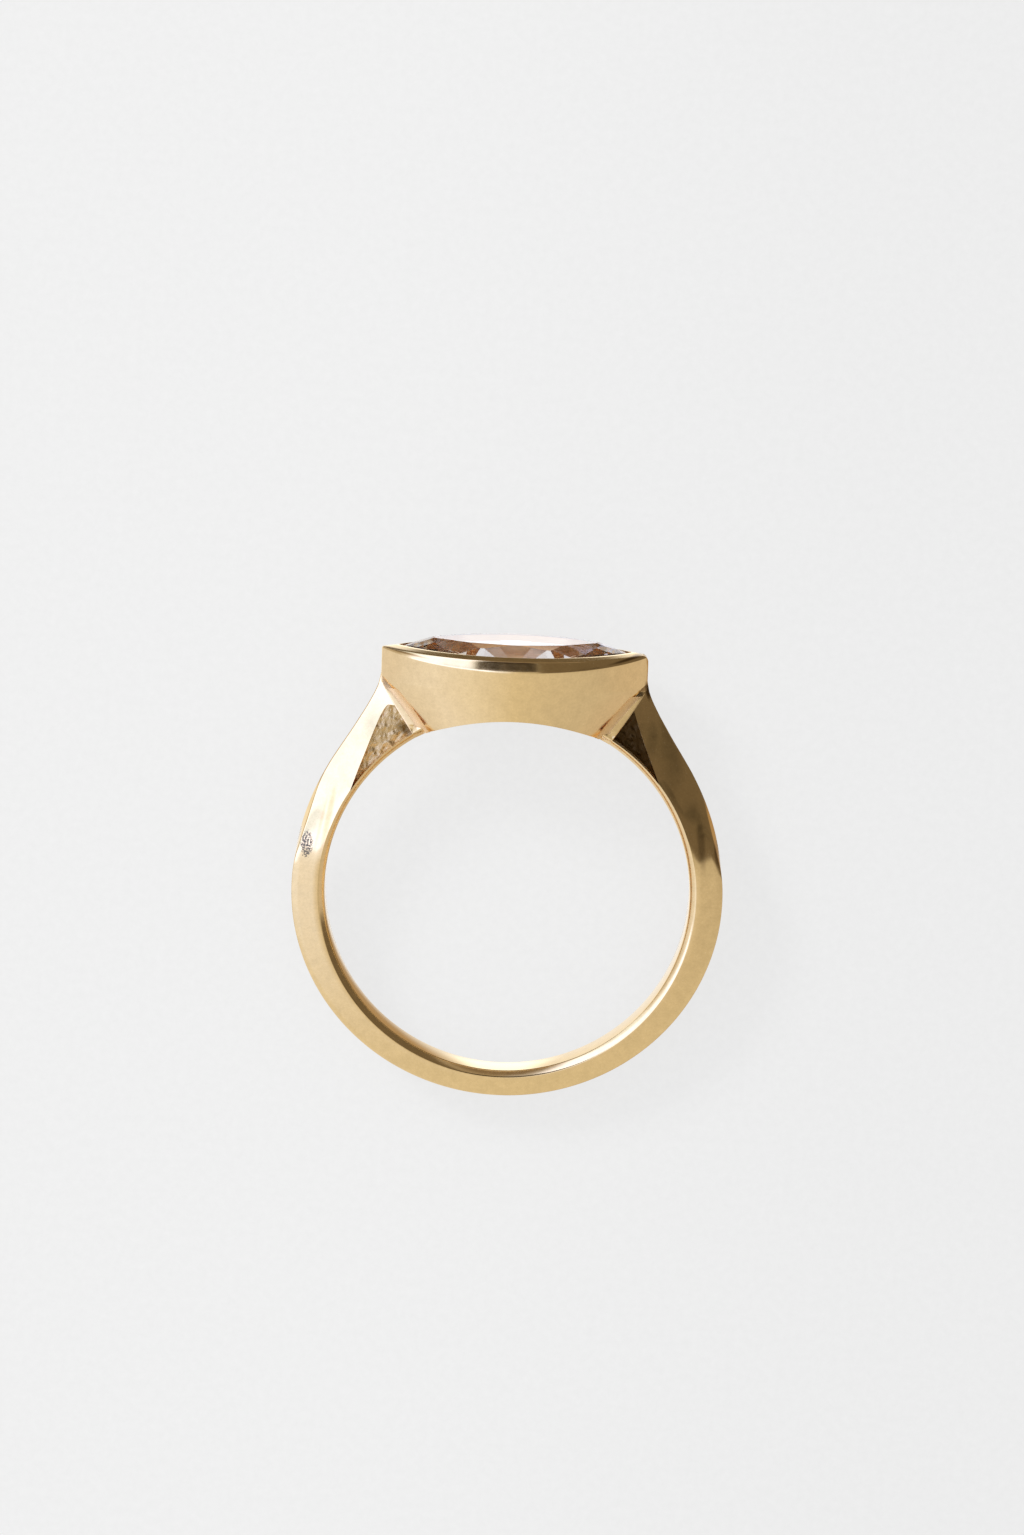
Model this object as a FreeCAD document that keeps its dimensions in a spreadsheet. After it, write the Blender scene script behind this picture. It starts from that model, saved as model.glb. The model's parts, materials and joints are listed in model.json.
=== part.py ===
import FreeCAD, Part
import math
import os

# Bezel set ring with a marquise stone, in millimetres.
# It is drawn lying in the XY plane: X runs across the finger, Y towards the head,
# Z along the finger. The origin is the middle of the finger hole.
# The last step tips it onto the table, where it rests on the rear edge of the band
# and on the rear belly of the bezel.

Vector = FreeCAD.Vector
ACROSS = Vector(1, 0, 0)
TO_HEAD = Vector(0, 1, 0)
ALONG_FINGER = Vector(0, 0, 1)
ORIGIN = Vector(0, 0, 0)

SIZES = (
    ("finger_radius", 8.25, "finger hole, radius"),
    ("edge_bevel", 0.25, "bevel round both edges of the finger hole"),
    ("band_half_width", 1.0, "half of the band's width along the finger"),
    ("band_side_radius", 9.73, "band's outside, out to the sides"),
    ("band_base_radius", 9.38, "band's outside, at the base"),
    ("bezel_half_length", 6.03, "bezel, middle to tip"),
    ("bezel_foot_half_length", 4.4, "bezel foot, middle to tip"),
    ("bezel_foot_half_width", 2.655, "bezel foot, half width"),
    ("bezel_foot_height", 7.0, "bezel foot, inside the finger hole"),
    ("tip_wall_height", 9.4, "height where the bezel's tips turn upright"),
    ("tip_wall_half_width", 2.99, "bezel's half width there"),
    ("belly_height", 10.535, "bezel's widest line, at the middle"),
    ("belly_half_width", 3.15, "bezel's largest half width"),
    ("belly_tip_height", 10.915, "bezel's widest line, at the tips"),
    ("rim_height", 10.995, "outer edge of the rim, at the middle"),
    ("rim_tip_height", 10.95, "outer edge of the rim, at the tips"),
    ("rim_half_width", 3.0, "outer edge of the rim, half width"),
    ("rim_half_length", 6.0, "outer edge of the rim, middle to tip"),
    ("lip_height", 11.115, "inner edge of the rim"),
    ("lip_half_width", 2.55, "opening over the stone, half width"),
    ("lip_half_length", 5.25, "opening over the stone, middle to tip"),
    ("lip_thickness", 0.05, "upright edge of the lip"),
    ("strut_low_height", 6.4, "strut under the tip: its low end, inside the hole"),
    ("strut_low_reach", 3.95, "strut's outer side, at the low end"),
    ("strut_top_height", 9.5, "strut's high end, at the bezel's tip"),
    ("strut_top_reach", 5.99, "strut's outer side, at the high end"),
    ("strut_depth", 1.4, "how far the strut reaches into the bezel"),
    ("strut_top_half_width", 0.45, "strut's half width at the high end"),
    ("pocket_floor", 0.38, "pocket floors, distance from the middle plane"),
    ("stone_half_length", 5.43, "stone, middle to tip"),
    ("stone_half_width", 2.73, "stone, half width"),
    ("girdle_height", 10.825, "lower edge of the girdle"),
    ("girdle_thickness", 0.08, "girdle"),
    ("crown_rise", 0.601, "girdle to table"),
    ("table_half_width", 1.6, "table, half width"),
    ("table_half_length", 3.65, "table, middle to tip"),
    ("pavilion_depth", 2.1, "girdle to culet"),
    ("stone_gap", 0.05, "gap between stone and metal"),
    ("seat_half_length", 4.7, "lower edge of the seat, middle to tip"),
    ("seat_half_width", 2.1, "lower edge of the seat, half width"),
    ("seat_drop", 0.62, "girdle to the lower edge of the seat"),
    ("back_half_length", 3.1, "open back, middle to tip, at the foot"),
    ("back_half_width", 1.65, "open back, half width, at the foot"),
)

# Sections of a shoulder, by angle from the level through the hole.
# The ridge runs down the middle, and a corner on each side of it closes in from the
# band's edge until the two fold into a knife edge.
SHOULDER_SECTIONS = (
    {"angle": 0.0, "ridge": 9.73, "crown": 0.0, "corner": 1.0},
    {"angle": 4.0, "ridge": 9.73, "crown": 0.0, "corner": 1.0},
    {"angle": 8.0, "ridge": 9.73, "crown": 0.02, "corner": 0.97},
    {"angle": 13.0, "ridge": 9.75, "crown": 0.11, "corner": 0.78},
    {"angle": 18.5, "ridge": 9.78, "crown": 0.16, "corner": 0.55},
    {"angle": 24.0, "ridge": 9.82, "crown": 0.12, "corner": 0.30},
    {"angle": 30.0, "ridge": 9.88, "crown": 0.04, "corner": 0.07},
    {"angle": 35.0, "ridge": 9.95, "crown": 0.03, "corner": 0.04},
    {"angle": 40.0, "ridge": 10.04, "crown": 0.03, "corner": 0.04},
    {"angle": 45.0, "ridge": 10.20, "crown": 0.03, "corner": 0.04},
    {"angle": 50.0, "ridge": 10.47, "crown": 0.03, "corner": 0.04},
    {"angle": 53.0, "ridge": 10.70, "crown": 0.03, "corner": 0.04},
    {"angle": 55.5, "ridge": 10.95, "crown": 0.03, "corner": 0.04},
    {"angle": 57.4, "ridge": 11.22, "crown": 0.03, "corner": 0.04},
    {"angle": 59.2, "ridge": 11.58, "crown": 0.03, "corner": 0.04},
    {"angle": 62.0, "ridge": 11.20, "crown": 0.03, "corner": 0.04},
)

# The rough pocket in each shoulder, as seen from the front: its end beside the bezel
# at the finger hole, its top, the width of that top, and its pointed end down the
# band, by angle.
POCKETS = (
    {"side": 1, "near_angle": 58.0, "top_reach": 5.33, "top_height": 8.48,
     "top_width": 0.06, "point_angle": 38.5},
    {"side": -1, "near_angle": 58.0, "top_reach": 5.28, "top_height": 8.42,
     "top_width": 0.50, "point_angle": 32.0},
)

# Facets of the stone, by direction from the long axis towards the belly. Each set has
# a part of the rise that it is ground over and a part of the way in to the table.
MAIN_DIRECTIONS = (0.0, 58.0, 90.0)
CROWN_BREAK_DIRECTIONS = (30.0, 47.0, 68.0, 80.0)
STAR_DIRECTIONS = (36.0, 73.0)
PAVILION_BREAK_DIRECTIONS = (34.0, 47.0, 67.0, 80.0)
CROWN_BREAK_STEEPER = 1.22
STAR_SHALLOWER = 0.62
STAR_REACH = 1.07
PAVILION_BREAK_STEEPER = 1.09

doc = FreeCAD.newDocument("bezel_set_ring")
sheet = doc.addObject("Spreadsheet::Sheet", "sizes")
for row, (alias, value, note) in enumerate(SIZES, start=1):
    sheet.set(f"A{row}", note)
    sheet.set(f"B{row}", str(value))
    sheet.setAlias(f"B{row}", alias)
doc.recompute()


def size(alias):
    return float(sheet.get(alias))


def shape_feature(name, shape):
    feature = doc.addObject("Part::Feature", name)
    feature.Shape = shape
    return feature


def mirrored(name, source):
    feature = doc.addObject("Part::Mirroring", name)
    feature.Source = source
    feature.Base = ORIGIN
    feature.Normal = ACROSS
    return feature


def fused(name, features):
    feature = doc.addObject("Part::MultiFuse", name)
    feature.Shapes = features
    feature.Refine = True
    return feature


def cut(name, base, tool):
    feature = doc.addObject("Part::Cut", name)
    feature.Base = base
    feature.Tool = tool
    feature.Refine = True
    return feature


def marquise(half_length, half_width, height, tip_height=None):
    """A closed pointed outline of two arcs, level or bent down or up to its tips."""
    if tip_height is None:
        tip_height = height
    left = Vector(-half_length, tip_height, 0)
    right = Vector(half_length, tip_height, 0)
    front = Part.Arc(left, Vector(0, height, half_width), right)
    back = Part.Arc(right, Vector(0, height, -half_width), left)
    return Part.Wire([front.toShape(), back.toShape()])


def ruled_solid(wires):
    return Part.makeLoft(wires, True, True)


def on_ring(radius, angle, along_finger=0.0):
    turn = math.radians(angle)
    return Vector(radius * math.cos(turn), radius * math.sin(turn), along_finger)


# Shank: band, shoulders and struts

def band_shape():
    """The lower half of the band, an ellipse outside, cut later by the finger hole."""
    side = size("band_side_radius")
    base = size("band_base_radius")
    half_width = size("band_half_width")
    ellipse = Part.Ellipse(ORIGIN, side, base)
    outside = Part.Arc(ellipse, math.pi, 2 * math.pi)
    closing = Part.LineSegment(Vector(side, 0, 0), Vector(-side, 0, 0))
    face = Part.Face(Part.Wire([outside.toShape(), closing.toShape()]))
    face.translate(ALONG_FINGER * -half_width)
    return face.extrude(ALONG_FINGER * 2 * half_width)


def shoulder_section(row):
    half_width = size("band_half_width")
    inner = size("finger_radius") - size("edge_bevel")
    land = size("finger_radius") + size("edge_bevel")
    corner = row["ridge"] - row["crown"]
    front_half = [(inner, half_width), (land, half_width), (corner, row["corner"])]
    back_half = [(radius, -depth) for radius, depth in reversed(front_half)]
    profile = front_half + [(row["ridge"], 0.0)] + back_half
    points = [on_ring(radius, row["angle"], depth) for radius, depth in profile]
    return Part.makePolygon(points + points[:1])


def shoulder_shape():
    return ruled_solid([shoulder_section(row) for row in SHOULDER_SECTIONS])


def strut_section(height, reach, half_width):
    inner = reach - size("strut_depth")
    corners = [(inner, -half_width), (reach, -half_width), (reach, half_width), (inner, half_width)]
    points = [Vector(x, height, z) for x, z in corners]
    return Part.makePolygon(points + points[:1])


def strut_shape():
    low = strut_section(size("strut_low_height"), size("strut_low_reach"), size("band_half_width"))
    top = strut_section(
        size("strut_top_height"), size("strut_top_reach"), size("strut_top_half_width")
    )
    return ruled_solid([low, top])


def pocket_shape(row):
    """A three or four sided well in the front shoulder, and its twin at the back."""
    side = row["side"]
    radius = size("finger_radius") + size("edge_bevel")
    middle_angle = (row["near_angle"] + row["point_angle"]) / 2
    near = on_ring(radius, row["near_angle"])
    middle = on_ring(radius, middle_angle)
    point = on_ring(radius, row["point_angle"])
    top_near = Vector(row["top_reach"], row["top_height"], 0)
    top_far = top_near + Vector(row["top_width"], 0, 0)
    outline = Part.Wire([
        Part.Arc(point, middle, near).toShape(),
        Part.LineSegment(near, top_near).toShape(),
        Part.LineSegment(top_near, top_far).toShape(),
        Part.LineSegment(top_far, point).toShape(),
    ])
    face = Part.Face(outline)
    face.translate(ALONG_FINGER * size("pocket_floor"))
    well = face.extrude(ALONG_FINGER * 2 * size("band_half_width"))
    if side < 0:
        well = well.mirror(ORIGIN, ACROSS)
    return Part.makeCompound([well, well.mirror(ORIGIN, ALONG_FINGER)])


def bevel_cone(name, turn):
    """The bevel of one edge of the finger hole, from inside the wall to past its face."""
    cone = doc.addObject("Part::Cone", name)
    cone.setExpression("Radius1", "sizes.finger_radius")
    cone.setExpression("Radius2", "sizes.finger_radius + 2 * sizes.edge_bevel")
    cone.setExpression("Height", "2 * sizes.edge_bevel")
    offset = size("band_half_width") - size("edge_bevel")
    rotation = FreeCAD.Rotation(ACROSS, turn)
    cone.Placement = FreeCAD.Placement(rotation.multVec(ALONG_FINGER * offset), rotation)
    return cone


def hole_cylinder(name):
    cylinder = doc.addObject("Part::Cylinder", name)
    cylinder.setExpression("Radius", "sizes.finger_radius")
    cylinder.setExpression("Height", "4 * sizes.belly_half_width")
    cylinder.Placement.Base = ALONG_FINGER * (-2 * size("belly_half_width"))
    return cylinder


# Bezel: cup, seat and open back

def bezel_shape():
    length = size("bezel_half_length")
    return ruled_solid([
        marquise(size("bezel_foot_half_length"), size("bezel_foot_half_width"),
                 size("bezel_foot_height")),
        marquise(length, size("tip_wall_half_width"), size("tip_wall_height")),
        marquise(length, size("belly_half_width"), size("belly_height"), size("belly_tip_height")),
        marquise(size("rim_half_length"), size("rim_half_width"), size("rim_height"),
                 size("rim_tip_height")),
        marquise(size("lip_half_length"), size("lip_half_width"), size("lip_height")),
    ])


def seat_shape():
    """What is cut away for the stone: the open back, the seat, the girdle and the lip."""
    gap = size("stone_gap")
    lip_length = size("lip_half_length")
    lip_width = size("lip_half_width")
    girdle_low = size("girdle_height")
    girdle_high = girdle_low + size("girdle_thickness") + gap / 2
    wall_length = size("stone_half_length") + gap
    wall_width = size("stone_half_width") + gap
    lip_low = size("lip_height") - size("lip_thickness")
    above = size("lip_height") + size("crown_rise")
    return ruled_solid([
        marquise(size("back_half_length"), size("back_half_width"), size("bezel_foot_height")),
        marquise(size("seat_half_length"), size("seat_half_width"), girdle_low - size("seat_drop")),
        marquise(wall_length, wall_width, girdle_low - gap),
        marquise(wall_length, wall_width, girdle_high),
        marquise(lip_length, lip_width, lip_low),
        marquise(lip_length, lip_width, above),
    ])


# Stone: a marquise blank with every facet ground on as a plane

def reach_of_outline(half_length, half_width, direction):
    """How far a pointed outline reaches in a direction, from its middle."""
    turn = math.radians(direction)
    radius = (half_length ** 2 + half_width ** 2) / (2 * half_width)
    arc_end = math.degrees(math.atan2(radius - half_width, half_length))
    if direction < arc_end:
        return half_length * math.cos(turn)
    return radius - (radius - half_width) * math.sin(turn)


def mirrored_directions(directions):
    everywhere = set()
    for direction in directions:
        everywhere.update({direction, 180.0 - direction, -direction % 360.0, 180.0 + direction})
    return sorted(everywhere)


def first_quarter(direction):
    folded = direction % 180.0
    return min(folded, 180.0 - folded)


def grind(stone, direction, reach, height, rise_per_run):
    """Cut away what lies outside a plane that passes the reach at the height."""
    turn = math.radians(direction)
    outward = Vector(math.cos(turn), 0, math.sin(turn))
    normal = outward * abs(rise_per_run) + TO_HEAD * math.copysign(1.0, rise_per_run)
    normal.normalize()
    at = outward * reach + TO_HEAD * height
    block_size = 4 * size("stone_half_length")
    plane = Part.makePlane(block_size, block_size, Vector(-block_size / 2, -block_size / 2, 0))
    plane.Placement = FreeCAD.Placement(at, FreeCAD.Rotation(ALONG_FINGER, normal))
    return stone.cut(plane.extrude(normal * block_size))


def stone_shape():
    half_length = size("stone_half_length")
    half_width = size("stone_half_width")
    girdle_low = size("girdle_height")
    girdle_high = girdle_low + size("girdle_thickness")
    rise = size("crown_rise")
    depth = size("pavilion_depth")
    table = girdle_high + rise
    blank_face = Part.Face(marquise(half_length, half_width, girdle_low - depth))
    stone = blank_face.extrude(TO_HEAD * (depth + girdle_high - girdle_low + rise))

    def girdle(direction):
        return reach_of_outline(half_length, half_width, first_quarter(direction))

    def table_edge(direction):
        return reach_of_outline(
            size("table_half_length"), size("table_half_width"), first_quarter(direction)
        )

    def crown_slope(direction):
        return rise / (girdle(direction) - table_edge(direction))

    for direction in mirrored_directions(MAIN_DIRECTIONS):
        stone = grind(stone, direction, girdle(direction), girdle_high, crown_slope(direction))
        stone = grind(stone, direction, girdle(direction), girdle_low, -depth / girdle(direction))
    for direction in mirrored_directions(CROWN_BREAK_DIRECTIONS):
        slope = CROWN_BREAK_STEEPER * crown_slope(direction)
        stone = grind(stone, direction, girdle(direction), girdle_high, slope)
    for direction in mirrored_directions(STAR_DIRECTIONS):
        slope = STAR_SHALLOWER * crown_slope(direction)
        stone = grind(stone, direction, STAR_REACH * table_edge(direction), table, slope)
    for direction in mirrored_directions(PAVILION_BREAK_DIRECTIONS):
        slope = -PAVILION_BREAK_STEEPER * depth / girdle(direction)
        stone = grind(stone, direction, girdle(direction), girdle_low, slope)
    return stone


# Assembly

def rest_placement():
    """Lying on the table: the head is propped by the bezel's belly."""
    drop = size("belly_half_width") - size("band_half_width")
    span = size("belly_height") + size("band_base_radius")
    tilt = math.degrees(math.atan2(drop, span))
    return FreeCAD.Placement(ORIGIN, FreeCAD.Rotation(ACROSS, tilt))


def build_metal():
    band = shape_feature("band", band_shape())
    shoulder = shape_feature("shoulder_right", shoulder_shape())
    strut = shape_feature("strut_right", strut_shape())
    blank = fused("shank_blank", [
        band, shoulder, mirrored("shoulder_left", shoulder), strut, mirrored("strut_left", strut)
    ])
    pockets = [
        shape_feature(f"pocket_{index}", pocket_shape(row))
        for index, row in enumerate(POCKETS, start=1)
    ]
    tools = fused("shank_tools", [
        bevel_cone("front_bevel", 0), bevel_cone("back_bevel", 180), *pockets
    ])
    shank = cut("shank", blank, tools)
    bezel = shape_feature("bezel", bezel_shape())
    soldered = fused("soldered", [shank, bezel])
    openings = fused("openings", [
        hole_cylinder("finger_hole"), shape_feature("stone_seat", seat_shape())
    ])
    metal = cut("metal", soldered, openings)
    metal.Label = "shank_and_bezel"
    metal.Placement = rest_placement()
    return metal


def build_stone():
    stone = shape_feature("gem", stone_shape())
    stone.Label = "stone"
    stone.Placement = rest_placement()
    return stone


def check(feature):
    shape = feature.Shape
    if shape.isNull() or not shape.isValid() or len(shape.Solids) != 1:
        raise RuntimeError(f"{feature.Label} is not one valid solid")
    print(feature.Label, "volume", round(shape.Volume, 3), "faces", len(shape.Faces), shape.BoundBox)


pieces = [build_metal(), build_stone()]
doc.recompute()
for feature in doc.Objects:
    if "Invalid" in feature.State or "Error" in feature.State:
        raise RuntimeError(f"{feature.Name} failed: {feature.State}")

os.makedirs("parts", exist_ok=True)
for piece in pieces:
    check(piece)
    piece.Shape.exportStep(f"parts/{piece.Label}.step")
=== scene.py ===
import bmesh
import bpy
import json
import math
from mathutils import Matrix, Vector, noise

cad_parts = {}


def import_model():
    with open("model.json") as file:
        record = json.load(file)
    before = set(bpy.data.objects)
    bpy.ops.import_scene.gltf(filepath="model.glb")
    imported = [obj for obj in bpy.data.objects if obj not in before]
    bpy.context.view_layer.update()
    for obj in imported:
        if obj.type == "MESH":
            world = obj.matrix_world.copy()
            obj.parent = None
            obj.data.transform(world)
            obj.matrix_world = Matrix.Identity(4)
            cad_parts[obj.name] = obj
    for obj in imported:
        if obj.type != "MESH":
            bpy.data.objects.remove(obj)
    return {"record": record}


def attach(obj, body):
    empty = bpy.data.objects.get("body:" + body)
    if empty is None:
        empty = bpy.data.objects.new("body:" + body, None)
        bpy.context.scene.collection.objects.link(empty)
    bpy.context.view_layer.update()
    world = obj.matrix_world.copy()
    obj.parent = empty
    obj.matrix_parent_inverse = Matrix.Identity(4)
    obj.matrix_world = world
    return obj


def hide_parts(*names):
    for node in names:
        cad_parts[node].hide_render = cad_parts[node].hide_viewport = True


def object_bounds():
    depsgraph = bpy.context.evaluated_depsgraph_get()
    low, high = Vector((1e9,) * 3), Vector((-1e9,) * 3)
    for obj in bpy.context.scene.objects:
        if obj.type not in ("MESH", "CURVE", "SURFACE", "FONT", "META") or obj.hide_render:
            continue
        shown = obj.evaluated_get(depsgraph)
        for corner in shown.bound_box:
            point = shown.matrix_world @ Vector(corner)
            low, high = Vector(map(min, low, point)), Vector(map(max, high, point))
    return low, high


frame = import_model()
cad_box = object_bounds()

# Lengths are in millimetres until the last step of each piece. The ring is drawn
# with X across the finger, Y towards the head and Z along the finger, towards the
# viewer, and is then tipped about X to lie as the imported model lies.
MM = 0.001
BORE_AXIS = Vector(frame["record"]["mounts"][0]["axis"])
TIP_BACK = BORE_AXIS.rotation_difference(Vector((0, 0, 1))).inverted().to_matrix().to_4x4()
TO_WORLD = TIP_BACK @ Matrix.Scale(MM, 4)
FLOOR_HEIGHT = cad_box[0].z

FINGER_RADIUS = 8.25
EDGE_BEVEL = 0.25
BAND_HALF_WIDTH = 1.0
BAND_SIDE_RADIUS = 9.73
BAND_BASE_RADIUS = 9.38
BAND_DOME = 0.05
# The dome is gone at this angle, and grows to its full height over so many degrees.
DOME_END = 14.0
DOME_FADE = 10.0
SHOULDER_END = 62.0
SHANK_STEPS = 300

# The rounding of the outer edge on a knife edged shoulder, how much more it is on the
# band, and the corner depth where it starts to grow and the range that it grows over.
KNIFE_ROUNDING = 0.02
BAND_ROUNDING = 0.06
ROUNDING_START = 0.1
ROUNDING_RANGE = 0.5
BEVEL_ROUNDING = 0.05

# Sections of a shoulder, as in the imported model: angle, ridge radius, crown, corner.
SHOULDER_SECTIONS = (
    (0.0, 9.73, 0.0, 1.0),
    (4.0, 9.73, 0.0, 1.0),
    (8.0, 9.73, 0.02, 0.97),
    (13.0, 9.75, 0.11, 0.78),
    (18.5, 9.78, 0.16, 0.55),
    (24.0, 9.82, 0.12, 0.30),
    (30.0, 9.88, 0.04, 0.07),
    (35.0, 9.95, 0.03, 0.04),
    (40.0, 10.04, 0.03, 0.04),
    (45.0, 10.20, 0.03, 0.04),
    (50.0, 10.47, 0.03, 0.04),
    (53.0, 10.70, 0.03, 0.04),
    (55.5, 10.95, 0.03, 0.04),
    (57.4, 11.22, 0.03, 0.04),
    (59.2, 11.58, 0.03, 0.04),
    (62.0, 11.20, 0.03, 0.04),
)

BEZEL_HALF_LENGTH = 6.0
# Outlines of the bezel from its foot to its lip and on down inside: half length,
# half width, height at the middle, height at the tips, and the edge's rounding.
BEZEL_OUTLINES = (
    ("foot", 4.4, 2.655, 7.0, 7.0, 0.06),
    ("tip_wall", 6.03, 2.99, 9.4, 9.4, 0.0),
    ("belly", 6.03, 3.15, 10.535, 10.97, 0.045),
    ("rim", BEZEL_HALF_LENGTH, 3.0, 10.995, 11.01, 0.05),
    ("lip", 5.25, 2.55, 11.115, 11.115, 0.02),
    ("lip_low", 5.25, 2.55, 11.065, 11.065, 0.0),
    ("girdle_high", 5.48, 2.78, 10.93, 10.93, 0.0),
    ("girdle_low", 5.48, 2.78, 10.775, 10.775, 0.0),
    ("seat", 4.7, 2.1, 10.205, 10.205, 0.02),
    ("back", 3.1, 1.65, 7.0, 7.0, 0.05),
)

# Radius of the top corner at the left and the right tip, and how often and over how
# many columns the upright edges of the tips are smoothed.
TIP_ROUNDING = (0.08, 0.36)
TIP_PASSES = 24
TIP_COLUMNS = 8

# How many columns a side of the bezel's mesh has, how much closer they stand towards
# the tips, how many parts the stretch from each outline to the next is divided into,
# how many points that makes a column, and which of them line the cup.
BEZEL_COLUMNS = 150
COLUMN_CROWDING = 1.35
BEZEL_STRETCHES = (6, 8, 4, 4, 1, 2, 2, 3, 6, 5)
BEZEL_COLUMN_POINTS = 59
CUP_COLUMN = (35, 51)

# Rough pockets in the shoulders: side, near angle, top reach, top height, top width,
# point angle, how far the far wall leans outwards, the floor's depth position, and
# how much of the far top corner is rounded off.
POCKETS = (
    (1, 58.0, 5.36, 8.55, 0.06, 38.5, 0.04, 0.33, 0.0),
    (-1, 58.0, 5.28, 8.42, 0.62, 32.0, 0.05, 0.27, 0.45),
)

# A pocket's mesh: its columns and rows, how far it runs on into the strut, at its top
# in millimetres and by the finger hole in degrees, and the depth positions of its
# walls' rows.
POCKET_COLUMNS, POCKET_ROWS = 64, 40
POCKET_OVERLAP = 0.06
POCKET_OVERLAP_ANGLE = 0.5
POCKET_LEVELS = (0.55, 0.75, 0.9, 1.0, 1.6)
# How much of the lean the wall by the finger hole has, and the far wall at its ends,
# and how much more the far wall has half way.
HOLE_WALL_LEAN = 0.3
FAR_WALL_ENDS = 0.3
FAR_WALL_BULGE = 1.5

# The unevenness of a pocket's floor: its height, and its bumps per millimetre.
POCKET_BUMP_HEIGHT = 0.045
POCKET_BUMP_RATE = 3.2

# Edges of the metal that turn by more than this stay sharp.
SHARP_ANGLE = math.radians(24)

# The strut under each tip: height, outer reach and half width of its sections.
STRUT_SECTIONS = (
    (6.4, 3.95, 1.0),
    (7.2, 4.478, 1.0),
    (9.3, 5.85, 0.52),
    (9.75, 5.95, 0.08),
)
STRUT_DEPTH = 1.2
STRUT_STEPS = 40
STRUT_EDGE = 0.05
# Above this height the left strut has the duller finish of its fillets.
DULL_STRUT_HEIGHT = 9.2

# The soft inner corner between a strut and the bezel: its size, its low and high end,
# how far its edge lies inside the strut's face, and its thickness behind the crease.
FILLET = 0.32
FILLET_HEIGHTS = (6.9, 9.2)
FILLET_SUNK = 0.004
FILLET_THICKNESS = 0.15
FILLET_STEPS = 30
FILLET_ARC_STEPS = 12


def smooth_step(x):
    """0 below 0, 1 above 1 and a smooth rise between."""
    x = min(max(x, 0.0), 1.0)
    return x * x * (3.0 - 2.0 * x)


def curve_through(rows, column, at):
    """A smooth curve through a table's column, by the table's first column."""
    xs = [row[0] for row in rows]
    if at <= xs[0]:
        return rows[0][column]
    if at >= xs[-1]:
        return rows[-1][column]
    i = max(k for k in range(len(xs) - 1) if xs[k] <= at)

    def slope(k):
        low, high = max(k - 1, 0), min(k + 1, len(xs) - 1)
        return (rows[high][column] - rows[low][column]) / (xs[high] - xs[low])

    width = xs[i + 1] - xs[i]
    t = (at - xs[i]) / width
    a, b = rows[i][column], rows[i + 1][column]
    return (
        (2 * t ** 3 - 3 * t ** 2 + 1) * a
        + (t ** 3 - 2 * t ** 2 + t) * width * slope(i)
        + (-2 * t ** 3 + 3 * t ** 2) * b
        + (t ** 3 - t ** 2) * width * slope(i + 1)
    )


def rounded_corner(before, corner, after, radius, steps):
    """Points of a small curve that replaces a corner, within 0.45 of each side."""
    to_before, to_after = before - corner, after - corner
    reach = min(radius, 0.45 * to_before.length, 0.45 * to_after.length)
    start = corner + to_before.normalized() * reach
    end = corner + to_after.normalized() * reach
    points = []
    for i in range(steps + 1):
        t = i / steps
        points.append(start * (1 - t) ** 2 + corner * 2 * t * (1 - t) + end * t ** 2)
    return points


def grid_mesh(name, rows, closed_rows=True, capped=False):
    """A mesh of quads over rows of points. Each row is a closed loop."""
    count = len(rows[0])
    points = [p for row in rows for p in row]
    faces = []
    last = len(rows) if closed_rows else len(rows) - 1
    for i in range(last):
        a, b = i * count, ((i + 1) % len(rows)) * count
        for j in range(count):
            k = (j + 1) % count
            faces.append((a + j, a + k, b + k, b + j))
    if capped:
        faces.append(tuple(reversed(range(count))))
        faces.append(tuple((len(rows) - 1) * count + j for j in range(count)))
    mesh = bpy.data.meshes.new(name)
    mesh.from_pydata([tuple(p) for p in points], [], faces)
    mesh.update()
    return mesh


def link(name, mesh):
    """Puts a closed mesh into the scene with its faces turned outwards."""
    work = bmesh.new()
    work.from_mesh(mesh)
    bmesh.ops.recalc_face_normals(work, faces=work.faces)
    work.to_mesh(mesh)
    work.free()
    piece = bpy.data.objects.new(name, mesh)
    bpy.context.scene.collection.objects.link(piece)
    return piece


# Shank

def ridge_radius(angle):
    """How far the ring's outer edge is from the bore's axis."""
    if angle > 0:
        return curve_through(SHOULDER_SECTIONS, 1, angle)
    turn = math.radians(angle)
    return 1 / math.hypot(math.cos(turn) / BAND_SIDE_RADIUS, math.sin(turn) / BAND_BASE_RADIUS)


def shank_profile(angle):
    """Half of a section, as radius and depth, from the middle of the bore to the ridge."""
    ridge = ridge_radius(angle)
    crown = max(curve_through(SHOULDER_SECTIONS, 2, angle), 0.0)
    corner = curve_through(SHOULDER_SECTIONS, 3, angle)
    dome = BAND_DOME * smooth_step((DOME_END - angle) / DOME_FADE)
    growth = smooth_step((corner - ROUNDING_START) / ROUNDING_RANGE)
    soft = KNIFE_ROUNDING + BAND_ROUNDING * growth
    wall = FINGER_RADIUS
    land = wall + EDGE_BEVEL
    corners = [
        (wall, 0.0, 0.0),
        (wall, BAND_HALF_WIDTH - EDGE_BEVEL, BEVEL_ROUNDING),
        (land, BAND_HALF_WIDTH, BEVEL_ROUNDING),
        (ridge - crown, corner - dome, soft),
        (ridge, 0.0, 0.0),
    ]
    return [(Vector((r, z, 0)), radius) for r, z, radius in corners]


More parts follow.
